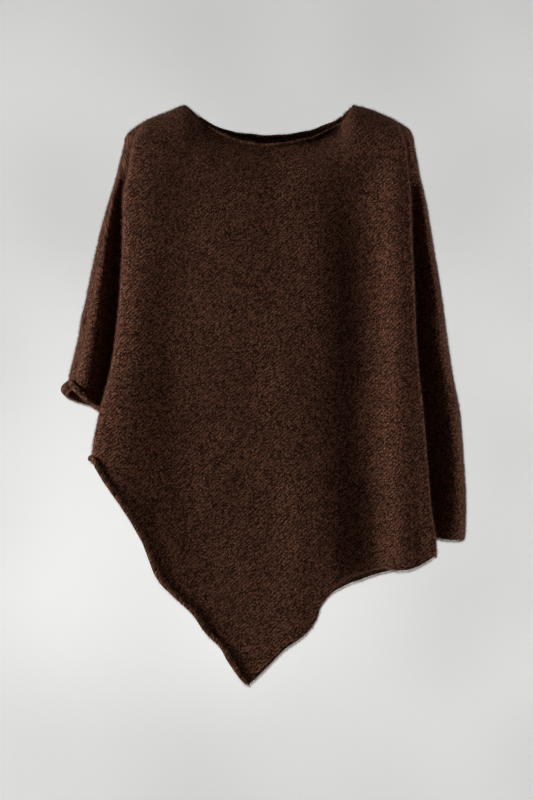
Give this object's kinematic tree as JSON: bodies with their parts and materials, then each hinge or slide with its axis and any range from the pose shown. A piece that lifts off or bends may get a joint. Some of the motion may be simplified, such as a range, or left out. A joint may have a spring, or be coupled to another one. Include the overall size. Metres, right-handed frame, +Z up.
{
  "type": "knitted poncho",
  "caption": "Asymmetric knitted poncho with a boat neck, a cuffed arm opening on one side, a cape fall over the other arm and a rolled diagonal hem down to a point.",
  "frame": {"origin": "between the shoulders on the middle plane, at the height of the neck points, where the poncho hangs on its wearer", "axes": "+Z up, the front faces -Y, +X towards the cape fall over the wearer's left arm"},
  "size_m": [0.5859, 0.2493, 0.8314],
  "materials": {
    "knit": "brushed dark brown wool knit, matt and slightly fuzzy",
    "seam_yarn": "dark brown wool yarn, matt"
  },
  "bodies": {
    "root": {"knitted_strip": "knit", "arm_seam": "seam_yarn", "underarm_seam": "seam_yarn"}
  },
  "joints": []
}
